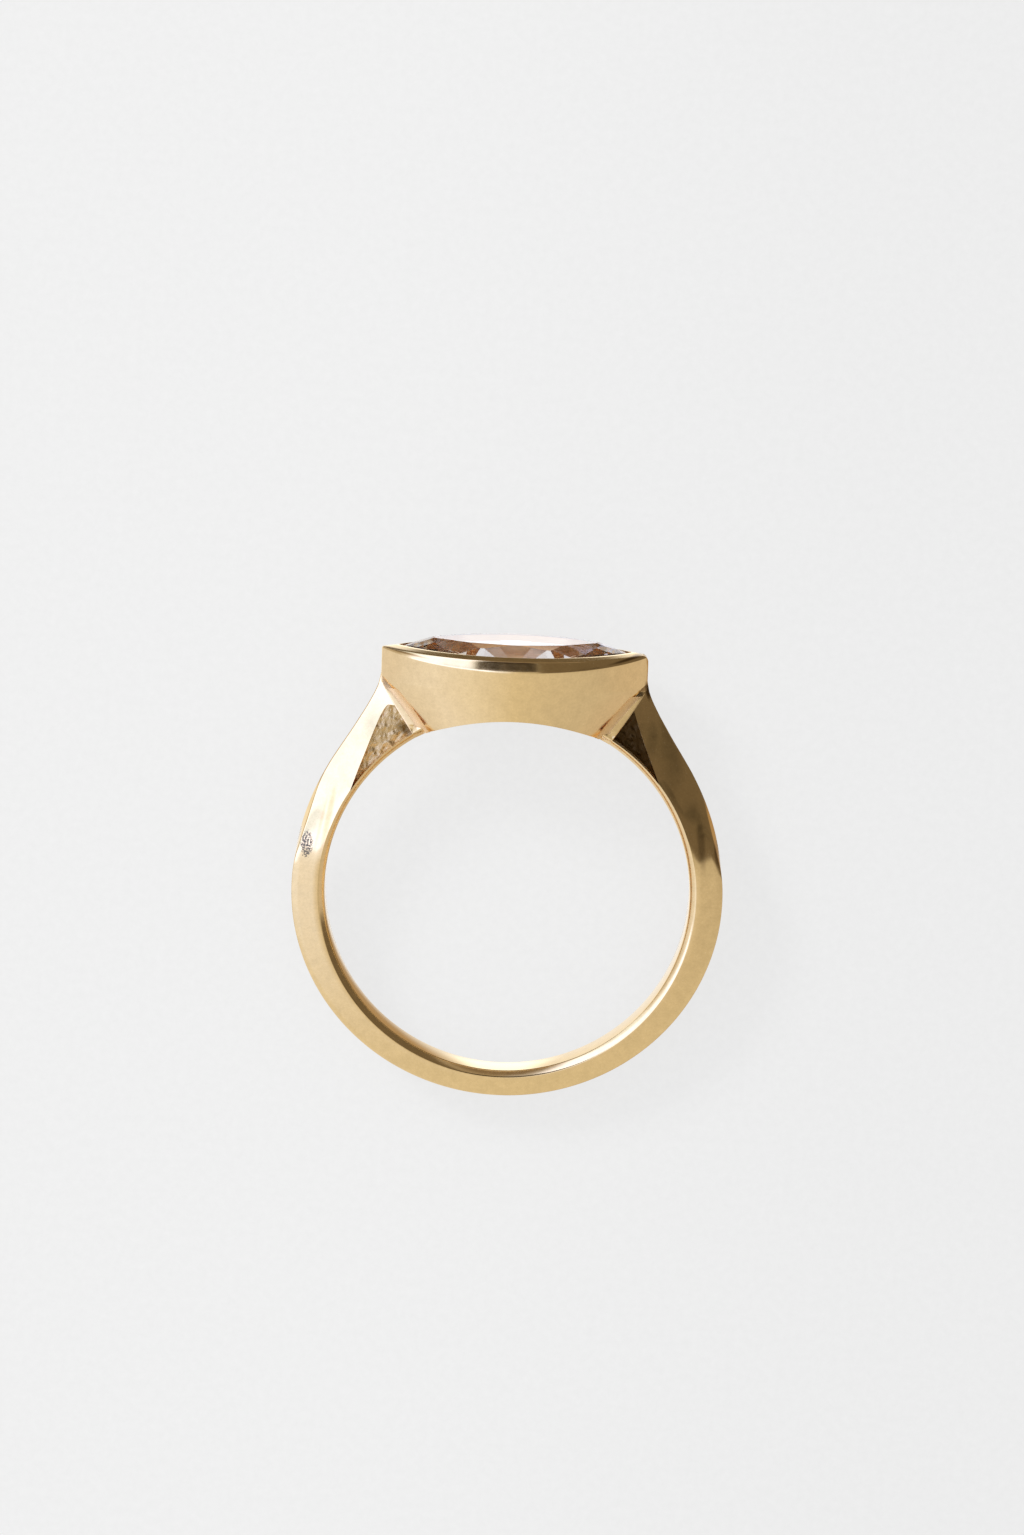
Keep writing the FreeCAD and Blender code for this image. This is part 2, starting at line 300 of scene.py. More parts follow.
def shank_section(angle):
    """A whole section of the band or a shoulder, as a closed loop in place."""
    fold = angle if angle >= -90 else -180 - angle
    half = shank_profile(fold)
    points = [half[0][0]]
    for i in range(1, len(half) - 1):
        before, (corner, radius), after = half[i - 1][0], half[i], half[i + 1][0]
        points += rounded_corner(before, corner, after, radius, 3)
        if i == 2:
            next_corner = half[3][0]
            points += [corner.lerp(next_corner, t) for t in (0.25, 0.5, 0.75)]
    points.append(half[-1][0])
    mirrored = [Vector((p.x, -p.y, 0)) for p in reversed(points[1:-1])]
    turn = math.radians(angle)
    c, s = math.cos(turn), math.sin(turn)
    return [Vector((p.x * c, p.x * s, p.y)) for p in points + mirrored]


def shank_mesh():
    """Band and shoulders, from one end below the bezel round to the other."""
    first, last = SHOULDER_END, -180 - SHOULDER_END
    angles = [first + (last - first) * i / SHANK_STEPS for i in range(SHANK_STEPS + 1)]
    return grid_mesh("shank", [shank_section(a) for a in angles], closed_rows=False, capped=True)


# Struts and pockets

def on_bore(x):
    """The height of the finger hole's top at x."""
    return math.sqrt(max(FINGER_RADIUS ** 2 - x ** 2, 0.0))


def bevel_depth(p):
    """How far from the middle plane the finger hole's bevel lies at a point."""
    return BAND_HALF_WIDTH - EDGE_BEVEL + math.hypot(p.x, p.y) - FINGER_RADIUS


def strut_mesh(side):
    """The post under a tip of the bezel, kept out of the finger hole and its bevel."""
    rows = []
    low, high = STRUT_SECTIONS[0][0], STRUT_SECTIONS[-1][0]
    heights = [low + (high - low) * i / STRUT_STEPS for i in range(STRUT_STEPS + 1)]
    for height in heights:
        reach = curve_through(STRUT_SECTIONS, 1, height)
        half = curve_through(STRUT_SECTIONS, 2, height)
        corners = [
            Vector((reach - STRUT_DEPTH, -half, 0)), Vector((reach, -half, 0)),
            Vector((reach, half, 0)), Vector((reach - STRUT_DEPTH, half, 0)),
        ]
        loop = []
        for k in range(4):
            before, after = corners[k - 1], corners[(k + 1) % 4]
            loop += rounded_corner(before, corners[k], after, STRUT_EDGE, 3)
        rows.append([Vector((side * p.x, height, p.y)) for p in loop])
    for row in rows:
        for p in row:
            p.y = max(p.y, on_bore(p.x))
            room = bevel_depth(p)
            p.z = min(max(p.z, -room), room)
    if side < 0:
        rows = [list(reversed(row)) for row in rows]
    return grid_mesh("strut", rows, closed_rows=False, capped=True)


def wall_point(share, height):
    """A point of the bezel's right front wall, below its tip wall's outline."""
    foot, tip = (outline_point(*row[1:5], share, 1) for row in BEZEL_OUTLINES[:2])
    return foot.lerp(tip, (height - foot.y) / (tip.y - foot.y))


def fillet_mesh(side, front):
    """The soft inner corner where a strut runs into the bezel's wall."""
    rows = []
    bottom, top = FILLET_HEIGHTS
    for i in range(FILLET_STEPS + 1):
        height = bottom + (top - bottom) * i / FILLET_STEPS
        half = curve_through(STRUT_SECTIONS, 2, height) - FILLET_SUNK
        low, high = 0.0, 1.0
        for _ in range(30):
            share = (low + high) / 2
            if wall_point(share, height).z > half:
                low = share
            else:
                high = share
        crease = wall_point(share, height)
        on_wall = wall_point(share - FILLET / BEZEL_HALF_LENGTH, height)
        on_strut = crease + Vector((FILLET, 0, 0))
        row = []
        for k in range(FILLET_ARC_STEPS + 1):
            t = k / FILLET_ARC_STEPS
            p = on_strut * (1 - t) ** 2 + crease * 2 * t * (1 - t) + on_wall * t ** 2
            p.y = max(p.y, on_bore(p.x))
            if t <= 0.5:
                p.z = min(p.z, bevel_depth(p))
            row.append(Vector((side * p.x, p.y, front * p.z)))
        middle = row[FILLET_ARC_STEPS // 2]
        row.append(Vector((side * crease.x, middle.y, front * (crease.z - FILLET_THICKNESS))))
        rows.append(row)
    return grid_mesh("fillet", rows, closed_rows=False, capped=True)


def on_ring(radius, angle):
    """The point at an angle on a circle round the bore's axis."""
    turn = math.radians(angle)
    return Vector((radius * math.cos(turn), radius * math.sin(turn), 0))


def pocket_mesh(row, front):
    """The solid that is cut away for a pocket, with a rough floor and walls."""
    side, near_angle, top_reach, top_height, top_width, point_angle, lean = row[:7]
    floor_at, rounding = row[7:]
    radius = FINGER_RADIUS + EDGE_BEVEL
    along, across = POCKET_COLUMNS, POCKET_ROWS
    bottom_angle = near_angle + POCKET_OVERLAP_ANGLE
    top_near = Vector((top_reach - POCKET_OVERLAP, top_height, 0))
    top_far = Vector((top_reach + top_width, top_height, 0))

    def place(s, t, shrink):
        u, v = rounding - s, t - 1 + rounding
        if u > 0 and v > 0:
            pull = max(u, v) / math.hypot(u, v)
            s, t = rounding - u * pull, 1 - rounding + v * pull
        angle = point_angle + (bottom_angle - point_angle) * s
        low = on_ring(radius + shrink * HOLE_WALL_LEAN, angle)
        high = top_far.lerp(top_near, s)
        p = low.lerp(high, t)
        p.x -= shrink * (1 - s) * (FAR_WALL_BULGE * t * (1 - t) * 4 + FAR_WALL_ENDS)
        return p

    ring = (
        [(i / along, 0.0) for i in range(along)]
        + [(1.0, j / across) for j in range(across)]
        + [(1 - i / along, 1.0) for i in range(along)]
        + [(0.0, 1 - j / across) for j in range(across)]
    )
    points, faces = [], []
    grid = {}
    for i in range(along + 1):
        for j in range(across + 1):
            p = place(i / along, j / across, lean)
            bumps_at = Vector((p.x * POCKET_BUMP_RATE, p.y * POCKET_BUMP_RATE, side * 4.0))
            p.z = floor_at + POCKET_BUMP_HEIGHT * noise.fractal(bumps_at, 0.9, 2.1, 4)
            grid[(i, j)] = len(points)
            points.append(p)
    for i in range(along):
        for j in range(across):
            faces.append((grid[(i, j)], grid[(i, j + 1)], grid[(i + 1, j + 1)], grid[(i + 1, j)]))
    below = [grid[(round(s * along), round(t * across))] for s, t in ring]
    for level in POCKET_LEVELS:
        shrink = lean * (1 - smooth_step((level - floor_at) / (1.0 - floor_at)))
        above = []
        for s, t in ring:
            p = place(s, t, shrink)
            p.z = level
            above.append(len(points))
            points.append(p)
        for k in range(len(ring)):
            m = (k + 1) % len(ring)
            faces.append((below[k], below[m], above[m], above[k]))
        below = above
    faces.append(tuple(below))
    for p in points:
        p.x *= side
        p.z *= front
    if side * front < 0:
        faces = [tuple(reversed(face)) for face in faces]
    mesh = bpy.data.meshes.new("pocket")
    mesh.from_pydata([tuple(p) for p in points], [], faces)
    mesh.update()
    return mesh


def boolean(piece, other, operation):
    """Unites a piece with another mesh, or cuts it away, and uses the other up."""
    modifier = piece.modifiers.new("cut", "BOOLEAN")
    modifier.operation = operation
    modifier.solver = "MANIFOLD"
    modifier.object = other
    depsgraph = bpy.context.evaluated_depsgraph_get()
    result = bpy.data.meshes.new_from_object(piece.evaluated_get(depsgraph))
    piece.modifiers.clear()
    piece.data = result
    bpy.data.objects.remove(other)


def keep_largest_shell(piece):
    """Drops the slivers that a union leaves where two surfaces nearly touch."""
    work = bmesh.new()
    work.from_mesh(piece.data)
    unseen = set(work.faces)
    largest = set()
    while unseen:
        shell = set()
        frontier = {unseen.pop()}
        while frontier:
            shell |= frontier
            unseen -= frontier
            frontier = {
                near for face in frontier for edge in face.edges
                for near in edge.link_faces if near in unseen
            }
        if len(shell) > len(largest):
            largest = shell
    others = [face for face in work.faces if face not in largest]
    bmesh.ops.delete(work, geom=others, context="FACES")
    work.to_mesh(piece.data)
    work.free()


# Bezel

def outline_point(half_length, half_width, height, tip_height, share, face):
    """A point of a pointed outline, share from -1 at the left tip to 1 at the right."""
    sag = math.hypot(half_width, height - tip_height)
    radius = (half_length ** 2 + sag ** 2) / (2 * sag)
    end = math.asin(half_length / radius)
    turn = end * share
    rise = (radius * math.cos(turn) - (radius - sag)) / sag
    return Vector((
        radius * math.sin(turn),
        tip_height + (height - tip_height) * rise,
        face * half_width * rise,
    ))


def meet_bore(low, high):
    """Where the line from low to high leaves the bore."""
    a, b = -2.0, 1.0
    for _ in range(40):
        t = (a + b) / 2
        p = low.lerp(high, t)
        if math.hypot(p.x, p.y) < FINGER_RADIUS:
            a = t
        else:
            b = t
    return low.lerp(high, b)


def bezel_column(share, face):
    """A closed loop up the bezel's wall, over its lip and down through the cup."""
    spots = [outline_point(*row[1:5], share, face) for row in BEZEL_OUTLINES]
    radii = [row[5] for row in BEZEL_OUTLINES]
    spots[0] = meet_bore(spots[0], spots[1])
    spots[-1] = meet_bore(spots[-1], spots[-2])
    points = []
    count = len(spots)
    for i in range(count):
        before, here, after = spots[i - 1], spots[i], spots[(i + 1) % count]
        if radii[i] > 0:
            corner = rounded_corner(before, here, after, radii[i], 3)
            points += corner
            here = corner[-1]
        else:
            points.append(here.copy())
        for k in range(1, BEZEL_STRETCHES[i]):
            p = here.lerp(after, k / BEZEL_STRETCHES[i])
            if i == count - 1:
                p.y = on_bore(p.x)
            points.append(p)
    return points


def bezel_mesh():
    """The bezel and its cup, as one closed band of columns from tip to tip and back."""
    shares = []
    for i in range(BEZEL_COLUMNS):
        u = -1 + 2 * i / BEZEL_COLUMNS
        shares.append(math.copysign(1 - (1 - abs(u)) ** COLUMN_CROWDING, u))
    columns = [bezel_column(share, 1) for share in shares]
    columns += [bezel_column(-share, -1) for share in shares]
    soften_tips(columns)
    round_ends(columns)
    return grid_mesh("bezel", columns, closed_rows=True)


def round_ends(columns):
    """Rounds the top corner of each end, the right one more than the left."""
    for side, radius in ((-1, TIP_ROUNDING[0]), (1, TIP_ROUNDING[1])):
        ends = [p for points in columns for p in points if p.x * side > 0]
        middle_x = max(abs(p.x) for p in ends) - radius
        middle_y = max(p.y for p in ends if abs(p.x) > middle_x) - radius
        for p in ends:
            across, up = abs(p.x) - middle_x, p.y - middle_y
            far = math.hypot(across, up)
            if across > 0 and up > 0 and far > radius:
                p.x = side * (middle_x + across * radius / far)
                p.y = middle_y + up * radius / far


def soften_tips(columns):
    """Rounds the two upright edges where the bezel's sides meet."""
    count = len(columns)
    for _ in range(TIP_PASSES):
        for tip in (0, BEZEL_COLUMNS):
            moved = {}
            for k in range(-TIP_COLUMNS, TIP_COLUMNS + 1):
                i = (tip + k) % count
                before, after = columns[i - 1], columns[(i + 1) % count]
                weight = 0.5 * (1 - abs(k) / (TIP_COLUMNS + 1))
                moved[i] = [
                    p.lerp((q + r) / 2, weight)
                    for p, q, r in zip(columns[i], before, after)
                ]
            for i, points in moved.items():
                columns[i] = points


def metal_piece():
    """Shank, pockets, struts, fillets and bezel, as one closed shell."""
    shank = link("shank", shank_mesh())
    finish_slots(shank.data)
    for row in POCKETS:
        for front in (1, -1):
            pocket = link("pocket", pocket_mesh(row, front))
            finish_slots(pocket.data, "cast_right_painted_shade" if row[0] > 0 else "cast_left")
            boolean(shank, pocket, "DIFFERENCE")
    for side in (1, -1):
        strut = link("strut", strut_mesh(side))
        finish_slots(strut.data)
        for face in strut.data.polygons:
            if side < 0 and face.center.y > DULL_STRUT_HEIGHT:
                face.material_index = slot_of("solder")
        boolean(shank, strut, "UNION")
        for front in (1, -1):
            fillet = link("fillet", fillet_mesh(side, front))
            finish_slots(fillet.data, "solder")
            boolean(shank, fillet, "UNION")
    bezel = link("bezel", bezel_mesh())
    finish_slots(bezel.data)
    for face in bezel.data.polygons:
        if CUP_COLUMN[0] <= face.index % BEZEL_COLUMN_POINTS < CUP_COLUMN[1]:
            face.material_index = slot_of("cup")
    boolean(shank, bezel, "UNION")
    keep_largest_shell(shank)
    return shank


# Shader helpers

def calculate(tree, operation, *values):
    """A Math node's result. Each value is a socket or a number."""
    node = tree.nodes.new("ShaderNodeMath")
    node.operation = operation
    for socket, value in zip(node.inputs, values):
        if isinstance(value, bpy.types.NodeSocket):
            tree.links.new(value, socket)
        else:
            socket.default_value = value
    return node.outputs[0]


def ramp(tree, value, start, end, smooth=True):
    """0 before start and 1 past end; start may be the larger one."""
    node = tree.nodes.new("ShaderNodeMapRange")
    node.interpolation_type = "SMOOTHSTEP" if smooth else "LINEAR"
    tree.links.new(value, node.inputs["Value"])
    node.inputs["From Min"].default_value = start
    node.inputs["From Max"].default_value = end
    return node.outputs[0]


def blend(tree, share, below, above, mode="MIX"):
    """A colour from below, at 0, to above, at 1. Each may be a socket or a value."""
    node = tree.nodes.new("ShaderNodeMix")
    node.data_type = "RGBA"
    node.blend_type = mode
    share_socket, below_socket, above_socket = (node.inputs[i] for i in (0, 6, 7))
    for socket, value in ((share_socket, share), (below_socket, below), (above_socket, above)):
        if isinstance(value, bpy.types.NodeSocket):
            tree.links.new(value, socket)
        elif isinstance(value, tuple):
            socket.default_value = (*value, 1)
        else:
            socket.default_value = value
    return node.outputs[2]


def band(tree, value, low, high, soft):
    """1 between low and high and 0 outside, with soft edges."""
    inside = ramp(tree, value, low - soft, low + soft)
    return calculate(tree, "MULTIPLY", inside, ramp(tree, value, high + soft, high - soft))


def graded(tree, value, stops):
    """A colour that runs smoothly through the stops."""
    colour = stops[0][1]
    for (start, _), (end, tint) in zip(stops, stops[1:]):
        colour = blend(tree, ramp(tree, value, start, end, smooth=False), colour, tint)
    return colour


# Each metal finish: its colour and roughness, and the unevenness's depth and how often
# it comes per millimetre.
FINISHES = {
    "worn_gold": ((0.93, 0.68, 0.34), 0.12, 0.03, 9),
    "cast_left": ((0.64, 0.45, 0.215), 0.34, 0.9, 11),
    # The right pocket's near black colour is painted shade.
    "cast_right_painted_shade": ((0.055, 0.030, 0.010), 0.36, 0.9, 11),
    "solder": ((0.93, 0.64, 0.31), 0.52, 0.05, 9),
    "cup": ((0.74, 0.51, 0.30), 0.20, 0.03, 9),
}

# The mottling of every finish: how often it comes per millimetre, what it multiplies
# the colour by, what it adds to the roughness where it is darkest, and how much more
# where it is lightest.
MOTTLE_RATE = 2.2
MOTTLE = (0.93, 1.05)
LEAST_ROUGHER = -0.02
ROUGHNESS_SPREAD = 0.05
# What the fine grain multiplies the colour by, and the height of a grain of depth 1.
GRAIN_TINTS = ((0.93, 0.93, 0.92), (1.07, 1.07, 1.08))
GRAIN_HEIGHT = 0.02

# The direction of the file marks in the rough pockets, in degrees, and how much
# longer than wide they are.
BRUSHED = {"cast_left": 58, "cast_right_painted_shade": -58}
FILE_MARK_STRETCH = 5


def metal(name):
    """The material of one finish. Its textures are laid in the ring's own millimetres."""
    colour, roughness, depth, scale = FINISHES[name]
    material = bpy.data.materials.new(name)
    material.use_nodes = True
    tree = material.node_tree
    shader = tree.nodes["Principled BSDF"]
    shader.inputs["Metallic"].default_value = 1.0
    ring_place = tree.nodes.new("ShaderNodeMapping")
    ring_place.inputs["Rotation"].default_value = (-TIP_BACK.to_euler().x, 0, 0)
    ring_place.inputs["Scale"].default_value = (1 / MM, 1 / MM, 1 / MM)
    object_place = tree.nodes.new("ShaderNodeTexCoord").outputs["Object"]
    tree.links.new(object_place, ring_place.inputs["Vector"])
    place = ring_place.outputs[0]

    along = place
    if name in BRUSHED:
        brushed = tree.nodes.new("ShaderNodeMapping")
        brushed.vector_type = "TEXTURE"
        brushed.inputs["Rotation"].default_value = (0, 0, math.radians(BRUSHED[name]))
        brushed.inputs["Scale"].default_value = (FILE_MARK_STRETCH, 1, 1)
        tree.links.new(place, brushed.inputs["Vector"])
        along = brushed.outputs[0]
    grain = noise_of(tree, along, scale, 5, 0.6)
    mottle = noise_of(tree, place, MOTTLE_RATE, 6, 0.65)
    tone = ramp(tree, mottle, 0.3, 0.7, smooth=False)
    shade = tuple(c * MOTTLE[0] for c in colour)
    light = tuple(min(c * MOTTLE[1], 1.0) for c in colour)
    tint = blend(tree, tone, shade, light)
    fine = ramp(tree, grain, 0.2, 0.8, smooth=False)
    tint = blend(tree, 1.0, tint, blend(tree, fine, *GRAIN_TINTS), "MULTIPLY")
    least_rough = roughness + LEAST_ROUGHER
    rough = calculate(tree, "MULTIPLY_ADD", tone, ROUGHNESS_SPREAD, least_rough)
    # Spots of painted light and shade, streaks and scratches multiply the colour.
    for middle, sizes, angle, multiplier in PAINTED_LIGHT_AND_MARKS.get(name, ()):
        share = spot(tree, place, middle, sizes, angle)
        tint = blend(tree, share, tint, blend(tree, 1.0, tint, multiplier, "MULTIPLY"))
    if name == "worn_gold":
        pits = pitted_patch(tree, place)
        tint = blend(tree, pits, tint, PIT_COLOUR)
        rough = calculate(tree, "MULTIPLY_ADD", pits, PIT_ROUGHER, rough)
    # Mirrored rays see a rough pocket as plain gold, so that the painted shade of a dark one
    # doesn't blacken the polished metal beside it.
    if name.startswith("cast"):
        path = tree.nodes.new("ShaderNodeLightPath")
        tint = blend(tree, path.outputs["Is Glossy Ray"], tint, FINISHES["worn_gold"][0])
    tree.links.new(tint, shader.inputs["Base Color"])
    tree.links.new(rough, shader.inputs["Roughness"])
    bump = tree.nodes.new("ShaderNodeBump")
    bump.inputs["Strength"].default_value = depth
    bump.inputs["Distance"].default_value = GRAIN_HEIGHT * MM
    tree.links.new(grain, bump.inputs["Height"])
    tree.links.new(bump.outputs[0], shader.inputs["Normal"])
    return material


def noise_of(tree, place, scale, detail, roughness):
    """Fractal noise by its frequency, its layers and how strong the fine ones are."""
    node = tree.nodes.new("ShaderNodeTexNoise")
    node.inputs["Scale"].default_value = scale
    node.inputs["Detail"].default_value = detail
    node.inputs["Roughness"].default_value = roughness
    tree.links.new(place, node.inputs["Vector"])
    return node.outputs[0]


# A worn, pitted spot on the left shoulder: its middle and half sizes, how often specks
# come per millimetre, the levels between which one starts, its colour, and how much
# rougher it is.
PITTED_MIDDLE = (-9.08, 2.02, 0.9)
PITTED_SIZE = (0.60, 1.25, 0.9)
PIT_RATE = 13
PIT_EDGE = (1.45, 1.53)
PIT_COLOUR = (0.15, 0.13, 0.10)
PIT_ROUGHER = 0.3

# Spots that multiply a finish's colour: darker and warmer streaks on the shoulders,
# painted dark reflection lines along the rim, painted shade at the right tip and in the
# left pocket's lower corner, painted light in its upper corner, and scratches drawn as
# painted bluish highlights. Each has a middle, half sizes, lean in degrees, and what
# the metal's colour is multiplied by.
PAINTED_LIGHT_AND_MARKS = {
    "worn_gold": (
        ((8.66, 2.70, 1.0), (0.22, 1.50, 0.8), 7, (0.60, 0.59, 0.58)),
        ((9.40, 2.05, 0.6), (0.14, 0.80, 0.8), 8, (0.55, 0.50, 0.46)),
        ((-8.11, 3.44, 1.0), (0.17, 1.90, 0.8), -10, (0.92, 0.80, 0.68)),
        ((-8.45, 3.10, 1.0), (0.10, 1.50, 0.8), -12, (0.95, 0.87, 0.80)),
        # Painted dark reflection: thin darker lines along the rim towards both tips.
        ((4.95, 10.94, 0.8), (1.20, 0.08, 1.6), 10, (0.30, 0.25, 0.20)),
        ((-4.70, 10.92, 0.8), (1.45, 0.07, 1.6), -5, (0.45, 0.38, 0.30)),
        # Painted shade: a dark spot at the top of the right tip, by the strut.
        ((6.00, 9.40, 0.1), (0.13, 0.50, 0.5), 12, (0.22, 0.18, 0.14)),
        # Scratches drawn as painted bluish highlights.
        ((-2.52, 10.30, 3.1), (0.45, 0.045, 0.3), -17, (1.3, 1.5, 2.3)),
        ((-2.60, 10.08, 3.1), (0.30, 0.035, 0.3), -20, (1.3, 1.5, 2.3)),
    ),
    "cast_left": (
        # Painted shade in the lower corner of the left pocket.
        ((-4.65, 7.25, 0.3), (0.75, 0.34, 1.5), -25, (0.34, 0.30, 0.24)),
        # Painted light in the upper corner of the left pocket.
        ((-5.75, 8.10, 0.3), (0.50, 0.55, 1.5), 0, (1.15, 1.18, 1.25)),
    ),
}


def spot(tree, place, middle, sizes, angle):
    """1 in a spot, within 0.35 of its half sizes, and 0 outside 1.15 of them."""
    offset = tree.nodes.new("ShaderNodeMapping")
    offset.vector_type = "TEXTURE"
    offset.inputs["Location"].default_value = middle
    offset.inputs["Rotation"].default_value = (0, 0, math.radians(angle))
    offset.inputs["Scale"].default_value = sizes
    tree.links.new(place, offset.inputs["Vector"])
    length = tree.nodes.new("ShaderNodeVectorMath")
    length.operation = "LENGTH"
    tree.links.new(offset.outputs[0], length.inputs[0])
    return ramp(tree, length.outputs["Value"], 1.15, 0.35)


def pitted_patch(tree, place):
    """1 in the specks of the pitted spot, 0 between them and away from it."""
    speckle = noise_of(tree, place, PIT_RATE, 5, 0.7)
    near = spot(tree, place, PITTED_MIDDLE, PITTED_SIZE, 0)
    return ramp(tree, calculate(tree, "ADD", speckle, near), *PIT_EDGE)


def slot_of(finish):
    """The number of a finish's material slot."""
    return list(FINISHES).index(finish)


def finish_slots(mesh, finish="worn_gold"):
    """Gives a mesh a slot for every finish, and all its faces one of them."""
    for name in FINISHES:
        mesh.materials.append(bpy.data.materials.get(name) or metal(name))
    mesh.polygons.foreach_set("material_index", [slot_of(finish)] * len(mesh.polygons))


# Stone: its half sizes and its heights. Directions are measured in degrees from the
# long axis, and each facet passes a reach at a height and falls outwards by its slope.
STONE_HALF_LENGTH, STONE_HALF_WIDTH = 5.43, 2.73
GIRDLE_LOW, GIRDLE_HIGH = 10.825, 10.905
CROWN_RISE = 0.601
PAVILION_DEPTH = 2.1
TABLE_HALF_LENGTH, TABLE_HALF_WIDTH = 3.65, 1.6
GIRDLE_POINTS = 60

# Directions of the facets, and how much steeper the breaks are than a main facet there.
MAIN_FACETS = (0.0, 58.0, 90.0)
CROWN_BREAKS = (30.0, 47.0, 68.0, 80.0)
CROWN_BREAK_STEEPER = 1.22
PAVILION_BREAKS = (34.0, 47.0, 67.0, 80.0)
PAVILION_BREAK_STEEPER = 1.09
# Stars: direction, part of the table's reach, part of the crown's slope.
STARS = ((38.0, 1.04, 0.60), (78.0, 0.95, 0.50))

# The stone's refractive index, the steps that a facet's direction is rounded to before
# it draws a painted reflection tint by chance, and those painted tints.
GEM_IOR = 1.77
FACET_STEP = 0.06
PAINTED_FACET_REFLECTIONS = (
    (0.0, (0.86, 0.88, 1.00)),
    (0.2, (0.97, 0.98, 1.00)),
    (0.4, (1.00, 1.00, 1.00)),
    (0.7, (1.00, 1.00, 1.00)),
    (0.85, (1.00, 0.93, 0.86)),
    (1.0, (1.00, 0.84, 0.70)),
)

# Cells of painted sparkle per millimetre along X, Y and Z. How far from the middle the
# painted gold reflection of the cup starts and is full, where the cells are full, and their
# colours.
SPARKLE_RATES = (2.6, 7.0, 2.0)
SPARKLE_REACHES = (2.1, 2.7, 3.5)
PAINTED_CUP_REFLECTION = (0.72, 0.50, 0.32)
PAINTED_SPARKLE = (
    (0.0, (0.50, 0.33, 0.20)),
    (0.3, PAINTED_CUP_REFLECTION),
    (0.45, (0.85, 0.55, 0.28)),
    (0.5, (0.55, 0.60, 0.70)),
    (0.7, (0.80, 0.76, 0.74)),
    (0.85, (0.34, 0.31, 0.31)),
    (1.0, (1.00, 1.00, 1.00)),
)


def reach_of_outline(half_length, half_width, direction):
    """The distance of the line that touches a pointed outline square to a direction."""
    turn = math.radians(direction)
    radius = (half_length ** 2 + half_width ** 2) / (2 * half_width)
    arc_end = math.degrees(math.atan2(radius - half_width, half_length))
    if direction < arc_end:
        return half_length * math.cos(turn)
    return radius - (radius - half_width) * math.sin(turn)


def grind(work, direction, reach, height, slope):
    """Cuts the same facet off on all four sides of the stone."""
    for angle in sorted({direction, 180 - direction, -direction, 180 + direction}):
        turn = math.radians(angle)
        outward = Vector((math.cos(turn), 0, math.sin(turn)))
        normal = outward * abs(slope) + Vector((0, math.copysign(1.0, slope), 0))
        at = outward * reach + Vector((0, height, 0))
        everything = work.verts[:] + work.edges[:] + work.faces[:]
        cut = bmesh.ops.bisect_plane(
            work, geom=everything, dist=1e-6, plane_co=at, plane_no=normal, clear_outer=True
        )
        rim = [e for e in cut["geom_cut"] if isinstance(e, bmesh.types.BMEdge)]
        if len(rim) > 2:
            bmesh.ops.contextual_create(work, geom=rim)


def stone_mesh():
    """A pointed block with every facet ground on as a plane."""
    shares = [-1 + 2 * (i + 0.5) / GIRDLE_POINTS for i in range(GIRDLE_POINTS)]
    girdle_points = [
        outline_point(STONE_HALF_LENGTH, STONE_HALF_WIDTH, 0.0, 0.0001, share, face)
        for face, order in ((1, shares), (-1, shares[::-1])) for share in order
    ]
    top, bottom = GIRDLE_HIGH + CROWN_RISE, GIRDLE_LOW - PAVILION_DEPTH
    rows = [[Vector((p.x, height, p.z)) for p in girdle_points] for height in (bottom, top)]
    mesh = grid_mesh("stone_cut", rows, closed_rows=False, capped=True)
    work = bmesh.new()
    work.from_mesh(mesh)
    bmesh.ops.recalc_face_normals(work, faces=work.faces)

    def girdle(direction):
        return reach_of_outline(STONE_HALF_LENGTH, STONE_HALF_WIDTH, direction)

    def table_edge(direction):
        return reach_of_outline(TABLE_HALF_LENGTH, TABLE_HALF_WIDTH, direction)

    def crown_slope(direction):
        return CROWN_RISE / (girdle(direction) - table_edge(direction))

    for direction in MAIN_FACETS:
        grind(work, direction, girdle(direction), GIRDLE_HIGH, crown_slope(direction))
        grind(work, direction, girdle(direction), GIRDLE_LOW, -PAVILION_DEPTH / girdle(direction))
    for direction in CROWN_BREAKS:
        slope = CROWN_BREAK_STEEPER * crown_slope(direction)
        grind(work, direction, girdle(direction), GIRDLE_HIGH, slope)
    for direction, share, flatness in STARS:
        reach = share * table_edge(direction)
        grind(work, direction, reach, top, flatness * crown_slope(direction))
    for direction in PAVILION_BREAKS:
        slope = -PAVILION_BREAK_STEEPER * PAVILION_DEPTH / girdle(direction)
        grind(work, direction, girdle(direction), GIRDLE_LOW, slope)
    work.to_mesh(mesh)
    work.free()
    return mesh


